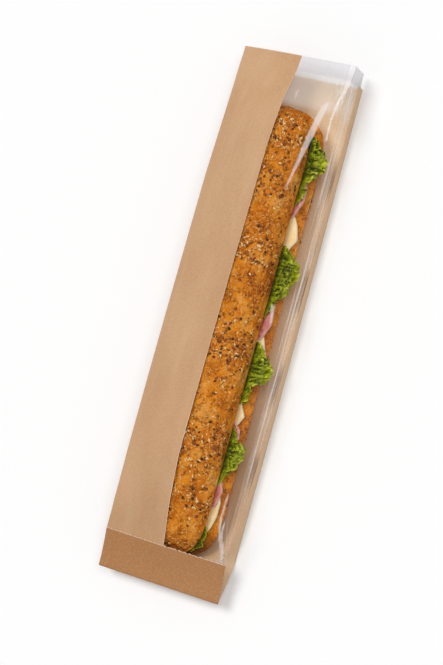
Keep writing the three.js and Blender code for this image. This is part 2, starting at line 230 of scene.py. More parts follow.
bag = {
    "turnUp": 31,  # the strip folded up over the front
    "gusset": 50,
    "kraftFront": 48,  # the paper's share of the front
    "lip": 11,  # how far the film front stands past the back at the mouth
    "bottomLift": 15,  # height of the bottom fold off the table
    "flatStack": 2.2,  # the pressed gussets between front and back
    "foldStart": 1.8,
    "foldGap": 0.5,  # the sheet's turn at a gusset crease
    "sheetInset": 0.1,
    "backClearance": 0.12,
    "leftDepth": 33,
    "rightDepth": 46,
    "windowDepth": 47.1,
    "breadStart": 31,
    "breadEnd": 376,
    "kraftCrown": 3.6,
    "filmCrown": 1,
    "filmInset": 0.35,  # how far inside the paper the film lies
    "lap": 6,
    "returnWidth": 10,
}
mouthStart = bag["breadEnd"] - 40
backEnd = bagLength - bag["lip"]
flatTop = bag["bottomLift"] + bag["flatStack"]

backHeight = smoothCurve((bag["foldStart"], bag["bottomLift"]), (12, 9), (25, 3), (38, 0))
leftHeight = smoothCurve(
    (bag["foldStart"], flatTop), (31, flatTop + 4.7), (60, 30), (100, bag["leftDepth"]),
    (mouthStart - 30, bag["leftDepth"]), (bagLength, 20))
windowHeight = smoothCurve(
    (bag["foldStart"], flatTop), (31, flatTop + 7.2), (67, bag["windowDepth"] - 9),
    (112, bag["windowDepth"]), (mouthStart, bag["windowDepth"]),
    (bag["breadEnd"] - 4, bag["windowDepth"] - 5), (bagLength, 26))
rightHeight = smoothCurve(
    (bag["foldStart"], flatTop), (31, flatTop + 5.2), (46, 32), (60, 40), (90, bag["rightDepth"] - 1.5),
    (130, bag["rightDepth"]), (mouthStart - 6, bag["rightDepth"]),
    (bag["breadEnd"] - 6, bag["rightDepth"] - 5), (bagLength, 29))
backHalfWidth = smoothCurve((110, halfWidth), (backEnd - 10, halfWidth - 2.3), (bagLength, halfWidth - 2.8))
leftFrontIn = smoothCurve((31, 0), (46, 1.6), (62, 2.8), (90, 3.5), (bagLength - 100, 3.5), (bagLength, 0.5))
rightFrontIn = smoothCurve((31, 0), (100, 2.7), (bagLength - 60, 2.7), (bagLength, 0.5))
rightFoldIn = smoothCurve((bag["foldStart"], 25), (16, 20), (30, 11), (44, 4), (64, 1.4), (110, 0.8))
crownShare = smoothCurve((31, 0), (80, 0.7), (130, 1), (mouthStart, 1), (bagLength, 0.2))
windowShift = smoothCurve((31, 0), (220, 1), (bagLength - 46, 2.6), (bagLength, 3))


def pointsBetween(start, end, count, rise=0.0):
    length = math.hypot(end[0] - start[0], end[1] - start[1]) or 1
    side = (-(end[1] - start[1]) / length, (end[0] - start[0]) / length)
    points = []
    for i in range(1, count + 1):
        t = i / (count + 1)
        lift = rise * math.sin(math.pi * t)
        points.append(tuple(blend(a, b, t) + turn * lift for a, b, turn in zip(start, end, side)))
    return points


def pointToward(start, end, distance):
    length = math.hypot(end[0] - start[0], end[1] - start[1])
    return (blend(start[0], end[0], distance / length), blend(start[1], end[1], distance / length))


def bagCorners(y):
    inset = bag["sheetInset"]
    side = backHalfWidth(y) - inset
    back = backHeight(y) + bag["backClearance"]
    gap = bag["foldGap"]
    leftFront = (-side + leftFrontIn(y), leftHeight(y) + inset)
    rightFront = (side - rightFrontIn(y), rightHeight(y) + inset)
    window = (-halfWidth + bag["kraftFront"] + windowShift(y) + 1, windowHeight(y) + inset)
    leftTop = (leftFront[0], leftFront[1] - gap)
    rightTop = (rightFront[0], rightFront[1] - gap)
    leftLow = (-side, back + gap)
    rightLow = (side, back + gap)
    leftHalf = max((leftTop[1] - leftLow[1]) / 2, 0)
    reach = math.sqrt(max((bag["gusset"] / 2) ** 2 - leftHalf ** 2 - 3, 1))
    leftFold = ((leftTop[0] + leftLow[0]) / 2 + reach, (leftTop[1] + leftLow[1]) / 2)
    rightFold = (
        (rightTop[0] + rightLow[0]) / 2 - rightFoldIn(y) + rightFrontIn(y) / 2,
        (rightTop[1] + rightLow[1]) / 2)
    return {
        "leftFront": leftFront, "rightFront": rightFront, "window": window, "back": back, "side": side,
        "leftTop": leftTop, "rightTop": rightTop, "leftLow": leftLow, "rightLow": rightLow,
        "leftFold": leftFold, "rightFold": rightFold,
    }


def frontLine(corners, y, kraftCount, filmCount):
    share = crownShare(y)
    left = pointsBetween(corners["leftFront"], corners["window"], kraftCount, bag["kraftCrown"] * share)
    right = pointsBetween(corners["window"], corners["rightFront"], filmCount, bag["filmCrown"] * share)
    return [corners["leftFront"], *left, corners["window"], *right, corners["rightFront"]]


def heightOnLine(line, x):
    if x <= line[0][0]:
        return line[0][1]
    for a, b in zip(line, line[1:]):
        if x <= b[0]:
            return blend(a[1], b[1], (x - a[0]) / max(b[0] - a[0], 1e-6))
    return line[-1][1]


def offsetRows(rows, distances):
    # moves each point of a grid along its own normal
    moved = []
    for r, row in enumerate(rows):
        line = []
        for c, point in enumerate(row):
            across = Vector(row[min(c + 1, len(row) - 1)]) - Vector(row[max(c - 1, 0)])
            along = Vector(rows[min(r + 1, len(rows) - 1)][c]) - Vector(rows[max(r - 1, 0)][c])
            normal = across.cross(along)
            if normal.length < 1e-9:
                line.append(Vector(point))
                continue
            line.append(Vector(point) + normal.normalized() * distances[r][c])
        moved.append(line)
    return moved


def placesAlong(step, *marks):
    places = {round(bag["foldStart"], 3), round(bagLength, 3)}
    places.update(marks)
    place = bag["foldStart"] + step
    while place < bagLength - step * 0.4:
        if all(abs(place - mark) > step * 0.4 for mark in places):
            places.add(place)
        place += step
    return sorted(places)


# Kraft paper: front, left gusset, back, its return and the bottom strip

kraftPaper = {
    "layers": {
        "clouds": {"sizeMm": 30, "stretch": (1, 0.4, 1), "stops": [(0.3, "#C1966D"), (0.7, "#CCA37B")]},
        # painted reflection: long soft light streaks along the front
        "rubs": {"sizeMm": 13, "stretch": (1, 0.14, 1), "shift": 2.2, "roughness": 0.6, "colour": "#D8B695",
                 "stops": [(0.48, "#000000"), (0.74, "#9A9A9A")]},
        # painted shade: darker towards the bottom of the front and on the turned-up strip
        "bottomTone": {"colour": "#A66F3C"},
        # partly the paler inner face of the paper, partly painted light inside the bag
        "inside": {"colour": "#FFE3BC"},
        # real fibres are some hundredths of a millimetre wide and are drawn this coarse so that they show
        "fibres": {"sizeMm": 0.7, "stretch": (1, 0.45, 1), "roughness": 0.75, "colour": "#DDBD9C",
                   "stops": [(0.48, "#000000"), (0.7, "#9A9A9A")]},
        "specks": {"sizeMm": 0.7, "stretch": (0.7, 1, 1), "shift": 3.7, "roughness": 0.7,
                   "colour": "#9C7049", "stops": [(0.5, "#000000"), (0.7, "#A0A0A0")]},
        "cutEdge": {"colour": "#F3E3D0"},
    },
    "roughness": 0.8,
    "fibreDepthMm": 0.12,
    "thicknessMm": 0.16,
    "waveMm": 0.45,  # how far the loose front panel waves
    "toothMm": 4.2,  # the saw-cut edge of the strip
    "toothDepthMm": 1.0,
    "stripGapMm": 0.45,  # the glued strip over the front
    "edgeMm": 0.6,  # the pale line of a cut edge
    "edgeShare": {"window": 0.75, "windowMouth": 0.35, "mouth": 0.5, "strip": 0.85},
    "insideLightShare": {"bottom": 0.3, "mouth": 0.95, "return": 0.4},
    "bottomShadeShare": {"front": 0.12, "strip": 0.85},
    "crispDegrees": 35,
}


def machineGlazedKraft():
    # Unbleached kraft off a paper machine: dull brown, with pale fibres and soft clouding.
    material = newMaterial("machineGlazedKraft")
    colour, patterns = layColours(material, kraftPaper["layers"])
    bump = addNode(
        material, "ShaderNodeBump", {"Strength": 0.5, "Distance": kraftPaper["fibreDepthMm"] * mm},
        {"Height": patterns["fibres"]})
    shader = addNode(
        material, "ShaderNodeBsdfPrincipled",
        {"Roughness": kraftPaper["roughness"], "Specular IOR Level": 0.25},
        {"Base Color": colour, "Normal": bump})
    addNode(material, "ShaderNodeOutputMaterial", links={"Surface": shader})
    return material


def kraftWave(x, y):
    share = smoothStep(30, 70, y) * (0.35 + 0.65 * smoothStep(-48, -30, x) * (1 - smoothStep(-8, 0, x)))
    return share * kraftPaper["waveMm"] * fractal(x * 1.6, y * 0.55, 0, 26, 3, 1)


def makeKraft(material):
    frontCount, gussetCount, backCount = 20, 7, 59
    cut = kraftPaper["edgeMm"]
    places = placesAlong(4, bag["turnUp"], bag["turnUp"] - cut, backEnd, bagLength - cut)
    rows = []
    waves = []
    for y in places:
        c = bagCorners(y)
        returnTop = pointToward(c["rightLow"], c["rightFold"], bag["returnWidth"])
        backRow = [(blend(c["side"], -c["side"], i / (backCount - 1)), c["back"]) for i in range(backCount)]
        front = pointsBetween(c["leftFront"], c["window"], frontCount, bag["kraftCrown"] * crownShare(y))
        row = [returnTop, *pointsBetween(returnTop, c["rightLow"], 3), c["rightLow"], *backRow, c["leftLow"]]
        row += [*pointsBetween(c["leftLow"], c["leftFold"], gussetCount), c["leftFold"]]
        row += [*pointsBetween(c["leftFold"], c["leftTop"], gussetCount), c["leftTop"], c["leftFront"]]
        frontStart = len(row) - 1
        row += [*front, pointToward(c["window"], front[-1], cut), c["window"]]
        rows.append([(x, y, z) for x, z in row])
        waves.append([kraftWave(x, y) if k > frontStart else 0 for k, (x, z) in enumerate(row)])
    columns = len(rows[0])
    backStart = 5
    backRows = places.index(backEnd)

    def keep(row, column):
        # the back and the return stop short of the mouth
        return row < backRows or column >= backStart + backCount - 1

    rows = offsetRows(rows, waves)
    points = [p for row in rows for p in row]
    faces = gridFaces(len(rows), columns, 0, keep)
    shares = kraftPaper["edgeShare"]
    edge = [0.0] * len(points)
    for r in range(len(rows)):
        edge[r * columns + columns - 1] = blend(
            shares["window"], shares["windowMouth"], smoothStep(60, 260, places[r]))
    for c in range(columns):
        edge[(len(rows) - 1) * columns + c] = shares["mouth"]

    # round the bottom fold and up over the front
    base = len(points)
    foldSteps = 5
    stripPlaces = [y for y in places if y <= bag["turnUp"]]
    stripGap = kraftPaper["stripGapMm"]
    lines = {y: frontLine(bagCorners(y), y, 12, 12) for y in stripPlaces}
    stripRow = []
    for i in range(backCount):
        low = rows[0][backStart + i]
        top = heightOnLine(lines[stripPlaces[0]], low[0]) + stripGap
        stripRow.append((low[0], low[2], top))
    for step in range(1, foldSteps + 1):
        angle = math.pi * step / (foldSteps + 1)
        for x, low, top in stripRow:
            radius = (top - low) / 2
            foldY = bag["foldStart"] - radius * math.sin(angle)
            points.append((x, foldY, (low + top) / 2 - radius * math.cos(angle)))
    for y in stripPlaces:
        for i in range(backCount):
            x = rows[places.index(y)][backStart + i][0]
            tooth = 0.0
            if y == stripPlaces[-1]:
                tooth = kraftPaper["toothDepthMm"] * (abs((x / kraftPaper["toothMm"]) % 1 - 0.5) * 2 - 0.5)
            height = heightOnLine(lines[y], x) + stripGap + 0.25 * smoothStep(20, 31, y)
            points.append((x, y + tooth, height))
    stripRows = foldSteps + len(stripPlaces)
    for face in gridFaces(stripRows, backCount, base):
        faces.append(tuple(reversed(face)))
    for i in range(backCount - 1):
        faces.append((backStart + i + 1, backStart + i, base + i, base + i + 1))
    edge += [0.0] * (len(points) - len(edge))
    for i in range(backCount):
        edge[len(points) - 1 - i] = shares["strip"]
    # painted light: the inside is made paler, more so towards the mouth, and the return likewise; part of it
    # is the paper's paler inner face
    inner = kraftPaper["insideLightShare"]
    inside = [0.0] * len(points)
    for r in range(len(rows)):
        for c in range(backStart):
            inside[r * columns + c] = inner["return"]
        for c in range(backStart, backStart + backCount):
            inside[r * columns + c] = blend(inner["bottom"], inner["mouth"], smoothStep(60, 240, places[r]))
    # painted shade: the front darkens towards the bottom and the strip is darker still
    tones = kraftPaper["bottomShadeShare"]
    tone = [tones["front"] * (1 - smoothStep(40, 190, p[1])) for p in points[:len(rows) * columns]]
    tone += [tones["strip"]] * (len(points) - len(tone))
    piece = makePiece("kraft_bag", points, faces, [material], "kraft_sheet")
    vertexValue(piece, "cutEdge", edge)
    vertexValue(piece, "inside", inside)
    vertexValue(piece, "bottomTone", tone)
    solid = piece.modifiers.new("thickness", "SOLIDIFY")
    solid.thickness = kraftPaper["thicknessMm"] * mm
    solid.offset = 0
    splitFolds(piece, kraftPaper["crispDegrees"])


# Window film: clear, thin and glossy, a little cloudy, with painted highlights along its creases and wrinkles

windowFilm = {
    # pale colour of the film's own cloudiness and of its painted highlights
    "haze": "#EEE6E1",
    # painted shade: the film over the lip is greyer, in its pale colour and in what it lets through
    "lipShadeHaze": "#DAD8DA",
    "clear": "#FDFDFC",
    "lipShadeClear": "#DFDEE1",
    "roughness": 0.2,
    "foldMm": 2.6,  # spacing of the fine lengthwise folds
    "foldDepthMm": 0.2,
    "overBread": 0.004,  # how much of the film's own pale colour shows
    "besideBread": 0.02,
    "mouth": 0.3,
    "gusset": 0.06,
    "lip": 0.43,
    "bottomCorner": 0.34,
    # painted highlights along the gusset fold and the front crease
    "gussetFoldHighlight": 0.55,
    "frontCreaseHighlight": 0.3,
    # painted highlight streaks on the film's wrinkles
    "gussetHighlightStreaks": 0.6,
    "mouthHighlightStreaks": 0.3,
    "waveMm": 0.5,
    "crispDegrees": 50,
}

# Painted highlights on the film: bright crease lines and reflection patches, as the points of their lines,
# with the half width in mm at each end, the strength and how much of it fades out along the line
paintedFilmHighlights = [
    {"line": [(44.5, 416), (44.2, 400), (42.5, 384)], "half": 3.2, "end": 0.8, "strength": 0.8},
    {"line": [(42.5, 384), (42.3, 370), (43.5, 355)], "half": 0.8, "end": 0.5, "strength": 0.7},
    {"line": [(34.5, 380), (32.5, 368), (31.5, 358)],
     "half": 2.3, "end": 2.5, "strength": 0.66, "fade": 0.25},
    {"line": [(31.5, 358), (28.5, 336), (24.0, 312)],
     "half": 2.5, "end": 0.7, "strength": 0.5, "fade": 0.45},
    {"line": [(9.5, 386), (10.0, 380)], "half": 1.3, "end": 0.5, "strength": 0.5},
    {"line": [(39.0, 225), (41.0, 214)], "half": 1.6, "end": 0.5, "strength": 0.4},
    {"line": [(43.5, 84), (42.3, 68), (43.0, 50), (46.5, 34)],
     "half": 0.5, "end": 1.0, "strength": 0.5},
    {"line": [(45.5, 62), (44.5, 52), (46.5, 40)], "half": 0.5, "end": 0.9, "strength": 0.6},
]


def clearCastFilm():
    # Clear polypropylene cast film: you see through it, with sharp glints, and painted highlights as pale
    # creases and streaks.
    material = newMaterial("clearCastFilm")
    place = addNode(material, "ShaderNodeTexCoord", output="Object")
    lengthwise = addNode(material, "ShaderNodeMapping", {"Scale": (1, 0.03, 0.8)}, {"Vector": place})
    folds = addNode(
        material, "ShaderNodeTexNoise",
        {"Scale": 1 / (windowFilm["foldMm"] * mm), "Detail": 3, "Roughness": 0.6}, {"Vector": lengthwise})
    # painted highlight streaks along the fine lengthwise folds
    streaks = addNode(
        material, "ShaderNodeValToRGB", {"stops": [(0.49, "#000000"), (0.6, "#FFFFFF")]}, {"Fac": folds})
    streaking, haze, lip = [
        addNode(material, "ShaderNodeAttribute", {"attribute_name": name}, output="Fac")
        for name in ("streaking", "haze", "lip")]
    streaked = addNode(material, "ShaderNodeMath", {"operation": "MULTIPLY"}, {0: streaks, 1: streaking})
    # the film's own cloudiness plus the painted highlight streaks
    cloudAndHighlight = addNode(
        material, "ShaderNodeMath", {"operation": "ADD", "use_clamp": True}, {0: haze, 1: streaked})
    # painted shade: greyer colour and see-through tint over the lip
    colour, tint = [
        addNode(
            material, "ShaderNodeMix",
            {"data_type": "RGBA", 6: windowFilm[single], 7: windowFilm[atLip]}, {0: lip}, 2)
        for single, atLip in (("haze", "lipShadeHaze"), ("clear", "lipShadeClear"))]
    bump = addNode(
        material, "ShaderNodeBump",
        {"Strength": 0.4, "Distance": windowFilm["foldDepthMm"] * mm}, {"Height": folds})
    shader = addNode(
        material, "ShaderNodeBsdfPrincipled",
        {"Roughness": windowFilm["roughness"], "IOR": 1.49, "Specular IOR Level": 0.3},
        {"Base Color": colour, "Normal": bump})
    clear = addNode(material, "ShaderNodeBsdfTransparent", links={"Color": tint})
    mixed = addNode(material, "ShaderNodeMixShader", links={0: cloudAndHighlight, 1: clear, 2: shader})
    addNode(material, "ShaderNodeOutputMaterial", links={"Surface": mixed})
    return material


def distanceToLine(x, y, line):
    best, share = 1e9, 0
    count = len(line) - 1
    for i, (a, b) in enumerate(zip(line, line[1:])):
        span = ((b[0] - a[0]) ** 2 + (b[1] - a[1]) ** 2) or 1
        t = min(max(((x - a[0]) * (b[0] - a[0]) + (y - a[1]) * (b[1] - a[1])) / span, 0), 1)
        gap = math.hypot(x - blend(a[0], b[0], t), y - blend(a[1], b[1], t))
        if gap < best:
            best, share = gap, (i + t) / count
    return best, share


def paintedHighlightHaze(x, y):
    value = 0.0
    for crease in paintedFilmHighlights:
        gap, share = distanceToLine(x, y, crease["line"])
        half = blend(crease["half"], crease["end"], share)
        if gap < half * 1.4:
            strength = crease["strength"] * (1 - crease.get("fade", 0) * share)
            value = max(value, strength * (1 - smoothStep(half * 0.75, half * 1.2, gap)))
    return value


def makeFilm(material):
    frontCount, gussetCount = 58, 16
    places = placesAlong(2.6)
    rows, moves, haze, streaking, lip = [], [], [], [], []
    for y in places:
        c = bagCorners(y)
        kraftSide = pointsBetween(c["leftFront"], c["window"], 12, bag["kraftCrown"] * crownShare(y))
        lap = pointToward(c["window"], kraftSide[-1], bag["lap"])
        front = pointsBetween(c["window"], c["rightFront"], frontCount, bag["filmCrown"] * crownShare(y))
        low = pointToward(c["rightLow"], c["rightFold"], bag["returnWidth"] - bag["lap"])
        row = [lap, c["window"], *front, c["rightFront"], c["rightTop"]]
        creaseAt = len(row) - 2
        row += [*pointsBetween(c["rightTop"], c["rightFold"], gussetCount), c["rightFold"]]
        foldAt = len(row) - 1
        row += [*pointsBetween(c["rightFold"], low, gussetCount), low]
        rows.append([(x, y, z) for x, z in row])
        move = []
        above = smoothStep(bag["breadEnd"] - 4, bag["breadEnd"] + 3, y)
        unglued = smoothStep(bag["turnUp"] - 4, 60, y) * (1 - smoothStep(bagLength - 16, bagLength, y))
        for k, (x, z) in enumerate(row):
            onFront = k < creaseAt
            nearBread = 1 - smoothStep(8, 30, x) if onFront else 0
            wave = windowFilm["waveMm"] * fractal(x * 3.2, y * 0.35, z * 3.2, 14, 3, 4)
            move.append(-bag["filmInset"] + smoothStep(1, 8, k) * unglued * wave * (1 - 0.85 * nearBread))
            nearBack = 1 - smoothStep(26, 38, z)
            if onFront:
                beside = smoothStep(38, 46, x)
                value = blend(windowFilm["overBread"], windowFilm["besideBread"], beside)
                # painted highlight streaks at the mouth
                streaks = windowFilm["mouthHighlightStreaks"] * above * smoothStep(30, 44, x)
            else:
                value = windowFilm["gusset"] * nearBack
                towardMouth = blend(0.35, 1, smoothStep(60, 200, y))
                lowStreaks = windowFilm["gussetHighlightStreaks"] * nearBack * towardMouth
                streaks = max(lowStreaks, windowFilm["mouthHighlightStreaks"] * above)
            value = blend(value, windowFilm["mouth"], above)
            overLip = smoothStep(backEnd - 1.5, backEnd, y) * (0 if k < 2 else 1)
            value = blend(value, windowFilm["lip"], overLip)
            if not onFront:
                value = max(value, windowFilm["bottomCorner"] * (1 - smoothStep(28, 40, y)))
            # painted highlight lines on the gusset fold and the front crease
            if k == foldAt:
                value = max(value, windowFilm["gussetFoldHighlight"])
            elif k in (creaseAt, creaseAt + 1):
                value = max(value, windowFilm["frontCreaseHighlight"] * max(above, 1 - smoothStep(50, 90, y)))
            # painted highlights from the crease lines and reflection patches
            if k <= creaseAt:
                value = max(value, paintedHighlightHaze(x, y))
            haze.append(value)
            streaking.append(streaks * (1 - 0.8 * overLip))
            lip.append(overLip)
        moves.append(move)
    rows = offsetRows(rows, moves)
    points = [p for row in rows for p in row]
    faces = gridFaces(len(rows), len(rows[0]))
    piece = makePiece("film_window", points, faces, [material], "window_film")
    vertexValue(piece, "haze", haze)
    vertexValue(piece, "streaking", streaking)
    vertexValue(piece, "lip", lip)
    splitFolds(piece, windowFilm["crispDegrees"])


# Baguette: crust, crumb and the seeds baked on it

baguette = {
    "topLeft": -26, "topRight": 27.5, "topHeight": 20.2,
    "bottomLeft": -26, "bottomRight": 36.5, "bottomHeight": 19.8,
    "filling": 5.6,
    "floor": 0.55,
    "underStrip": 4,  # how far the lower tip goes on under the strip
    "tipDrop": 8.5,
    "roundedEdge": 3.4,  # the lower half's rim rolls down by this much
    "rimWidth": 9,
    "crustRoughMm": 1.7,
    "crust": {
        "patches": {"sizeMm": 15, "stretch": (1, 0.7, 1), "detail": 4, "roughness": 0.6,
                    "stops": [(0.33, "#A64C02"), (0.45, "#D6740A"), (0.56, "#EF921C"), (0.7, "#F5B35E")]},
        "cracks": {"sizeMm": 5.5, "shift": 1.3, "detail": 7, "roughness": 0.78, "colour": "#6E2E02",
                   "stops": [(0.38, "#F0F0F0"), (0.49, "#000000")]},
        "flakes": {"sizeMm": 2.6, "detail": 6, "roughness": 0.72, "colour": "#EC9C3A",
                   "stops": [(0.48, "#000000"), (0.6, "#C0C0C0")]},
        "flour": {"sizeMm": 1.5, "shift": 5.1, "detail": 4, "roughness": 0.7, "colour": "#F7B95E",
                  "stops": [(0.54, "#000000"), (0.64, "#D0D0D0")]},
        "toast": {"colour": "#7B4322"},
    },
    "flakeDepthMm": 1.9,
    "crumb": {
        "holes": {"sizeMm": 2.2, "detail": 4,
                  "stops": [(0.35, "#C9A36C"), (0.5, "#EBD6AE"), (0.7, "#F5E7CB")]},
    },
    "holeDepthMm": 0.8,
    "tipToast": {"top": 0.25, "bottom": 0.8},  # how dark each half's lower tip is baked
    "crispDegrees": 60,
}
start, end = bag["breadStart"] - baguette["underStrip"], bag["breadEnd"]
tipDrop = smoothCurve(
    (start, baguette["tipDrop"]), (start + 18, baguette["tipDrop"] * 0.62), (start + 60, 0))
bunWidth = smoothCurve(
    (start, 0.22), (start + 3, 0.5), (start + 9, 0.74), (start + 22, 0.92), (start + 48, 1), (end - 40, 1),
    (end - 16, 0.86), (end - 6, 0.6), (end - 1.5, 0.36), (end, 0.16))
topRise = smoothCurve(
    (start, 0.06), (start + 8, 0.3), (start + 28, 0.52), (start + 58, 0.74), (start + 90, 1), (end - 46, 1),
    (end - 26, 0.88), (end - 12, 0.68), (end - 4, 0.42), (end, 0.12))
bottomFall = smoothCurve(
    (start, 0.15), (start + 6, 0.7), (start + 20, 1), (end - 30, 1), (end - 8, 0.7), (end, 0.12))


def cutHeight(y):
    return baguette["floor"] + baguette["bottomHeight"] - tipDrop(y)


def rimDrop(x, right):
    t = min(max((x - right + baguette["rimWidth"]) / baguette["rimWidth"], 0), 1)
    return baguette["roundedEdge"] * t * t


def bunEdges(half, y):
    left, right = baguette[half + "Left"], baguette[half + "Right"]
    middle, reach = (left + right) / 2, (right - left) / 2 * bunWidth(y)
    return middle - reach, middle + reach


def bunPoint(half, y, angle):
    # a point on the crust; angle 0 is the right edge of the cut, and half a turn the left edge
    left, right = bunEdges(half, y)
    fullness = 0.92 if half == "top" else 0.7
    across = math.copysign(abs(math.cos(angle)) ** fullness, math.cos(angle))
    rise = max(math.sin(angle), 0) ** fullness
    x = (left + right) / 2 + (right - left) / 2 * across
    if half == "top":
        return Vector((x, y, cutHeight(y) + baguette["filling"] + baguette["topHeight"] * topRise(y) * rise))
    depth = (cutHeight(y) - backHeight(y) - baguette["floor"]) * bottomFall(y)
    return Vector((x, y, cutHeight(y) - depth * rise - rimDrop(x, right) * (1 - rise) * bunWidth(y)))


def bunNormal(half, y, angle):
    around = bunPoint(half, y, angle + 0.01) - bunPoint(half, y, angle - 0.01)
    along = bunPoint(half, y + 0.5, angle) - bunPoint(half, y - 0.5, angle)
    normal = around.cross(along) if half == "bottom" else along.cross(around)
    return normal.normalized()


def bakedCrust():
    # Baked wheat crust: rough and flaky, bright orange brown with dark cracks.
    material = newMaterial("bakedCrust")
    colour, patterns = layColours(material, baguette["crust"])
    bump = addNode(
        material, "ShaderNodeBump", {"Distance": baguette["flakeDepthMm"] * mm},
        {"Height": patterns["flakes"]})
    shader = addNode(
        material, "ShaderNodeBsdfPrincipled", {"Roughness": 0.75, "Specular IOR Level": 0.06},
        {"Base Color": colour, "Normal": bump})
    addNode(material, "ShaderNodeOutputMaterial", links={"Surface": shader})
    return material


def openCrumb():
    # The cut face of white bread: pale, soft and full of holes.
    material = newMaterial("openCrumb")
    colour, patterns = layColours(material, baguette["crumb"])
    bump = addNode(
        material, "ShaderNodeBump", {"Distance": baguette["holeDepthMm"] * mm}, {"Height": patterns["holes"]})
    shader = addNode(
        material, "ShaderNodeBsdfPrincipled", {"Roughness": 0.85, "Specular IOR Level": 0.2},
        {"Base Color": colour, "Normal": bump})
    addNode(material, "ShaderNodeOutputMaterial", links={"Surface": shader})
    return material


cutShares = [0.2, 0.4, 0.55, 0.68, 0.78, 0.84, 0.89, 0.93, 0.97]  # across the cut face


def makeBun(half, crust, crumb, replaced):
    around, along = 104, 270
    points, faces, kinds = [], [], []
    for row in range(along + 1):
        t = row / along
        y = blend(start, end, blend(t, 0.5 - 0.5 * math.cos(math.pi * t), 0.5))
        for k in range(around + 1):
            angle = math.pi * k / around
            point = bunPoint(half, y, angle)
            rough = 0.7 * fractal(*point, 9, 3, 2) + 0.45 * fractal(*point, 3.4, 3, 3)
            depth = max(baguette["crustRoughMm"] * (0.6 - rough), 0.1) * smoothStep(0, 0.12, math.sin(angle))
            points.append(point - bunNormal(half, min(max(y, start + 1), end - 1), angle) * depth)
        left, right = bunEdges(half, y)
        for share in cutShares:
            x = blend(left, right, share)
            z = cutHeight(y)
            z += baguette["filling"] if half == "top" else -rimDrop(x, right) * bunWidth(y)
            points.append(Vector((x, y, z)))
    ring = around + 1 + len(cutShares)
    crumbEnd = around + 4 if half == "bottom" else ring - 2
    for row in range(along):
        for k in range(ring):
            a, b = row * ring + k, row * ring + (k + 1) % ring
            face = (a, b, b + ring, a + ring)
            faces.append(face if half == "bottom" else tuple(reversed(face)))
            kinds.append(1 if around < k < crumbEnd else 0)
    for row, flip in ((0, half == "bottom"), (along, half != "bottom")):
        cap = tuple(range(row * ring, row * ring + ring))
        faces.append(tuple(reversed(cap)) if flip else cap)
        kinds.append(0)
    piece = makePiece("baguette_" + half, points, faces, [crust, crumb], replaced)
    piece.data.polygons.foreach_set("material_index", kinds)
    darkTip = baguette["tipToast"][half]
    vertexValue(piece, "toast", [darkTip * (1 - smoothStep(start + 9, start + 22, p[1])) for p in points])
    splitFolds(piece, baguette["crispDegrees"])


# Seeds: sesame, dark seeds and pale flakes, thickest in patches

seedMix = {
    # size is length, width and height in mm, and spread the share that lies outside the patches
    "sesame": {
        "count": 440, "size": (2.7, 1.4, 0.9), "spread": 0.04, "colour": "#EFD296", "other": "#D29A4C"},
    "flake": {
        "count": 1900, "size": (2.4, 1.3, 0.7), "spread": 0.5, "colour": "#E5A24E", "other": "#BC6812"},
    "dark": {
        "count": 120, "size": (2.8, 1.9, 1.2), "spread": 0.05, "colour": "#2A200C", "other": "#55300F"},
    "toasted": {
        "count": 430, "size": (3.0, 2.0, 1.1), "spread": 0.06, "colour": "#9A561C", "other": "#6A300B"},
}
# place along the bread and half width of each patch
seedPatches = [(354, 17), (309, 9), (261, 11), (190, 20), (113, 18), (72, 7)]


def seedShell(name, seed):
    # Hulled and baked seed, dry and slightly waxy: small ovals that vary from pale to brown.
    material = newMaterial(name)
    tone = addNode(material, "ShaderNodeAttribute", {"attribute_name": "seedTone"}, output="Fac")
    colour = addNode(
        material, "ShaderNodeMix", {"data_type": "RGBA", 6: seed["colour"], 7: seed["other"]}, {0: tone}, 2)
    shader = addNode(
        material, "ShaderNodeBsdfPrincipled",
        {"Roughness": 0.5, "Specular IOR Level": 0.3}, {"Base Color": colour})
    addNode(material, "ShaderNodeOutputMaterial", links={"Surface": shader})
    return material


def addSeed(points, faces, centre, axes, size):
    base = len(points)
    rings, around = 3, 6
    longAxis, wideAxis, upAxis = axes
    points.append(centre + longAxis * size[0] / 2)
    for ring in range(1, rings + 1):
        polar = math.pi * ring / (rings + 1)
        for k in range(around):
            turn = 2 * math.pi * k / around
            points.append(
                centre + longAxis * math.cos(polar) * size[0] / 2
                + wideAxis * math.sin(polar) * math.cos(turn) * size[1] / 2
                + upAxis * math.sin(polar) * math.sin(turn) * size[2] / 2)
    points.append(centre - longAxis * size[0] / 2)
    last = len(points) - 1
    for k in range(around):
        following = (k + 1) % around
        faces.append((base, base + 1 + k, base + 1 + following))
        for ring in range(rings - 1):
            a = base + 1 + ring * around
            faces.append((a + k, a + around + k, a + around + following, a + following))
        a = base + 1 + (rings - 1) * around
        faces.append((a + k, last, a + following))


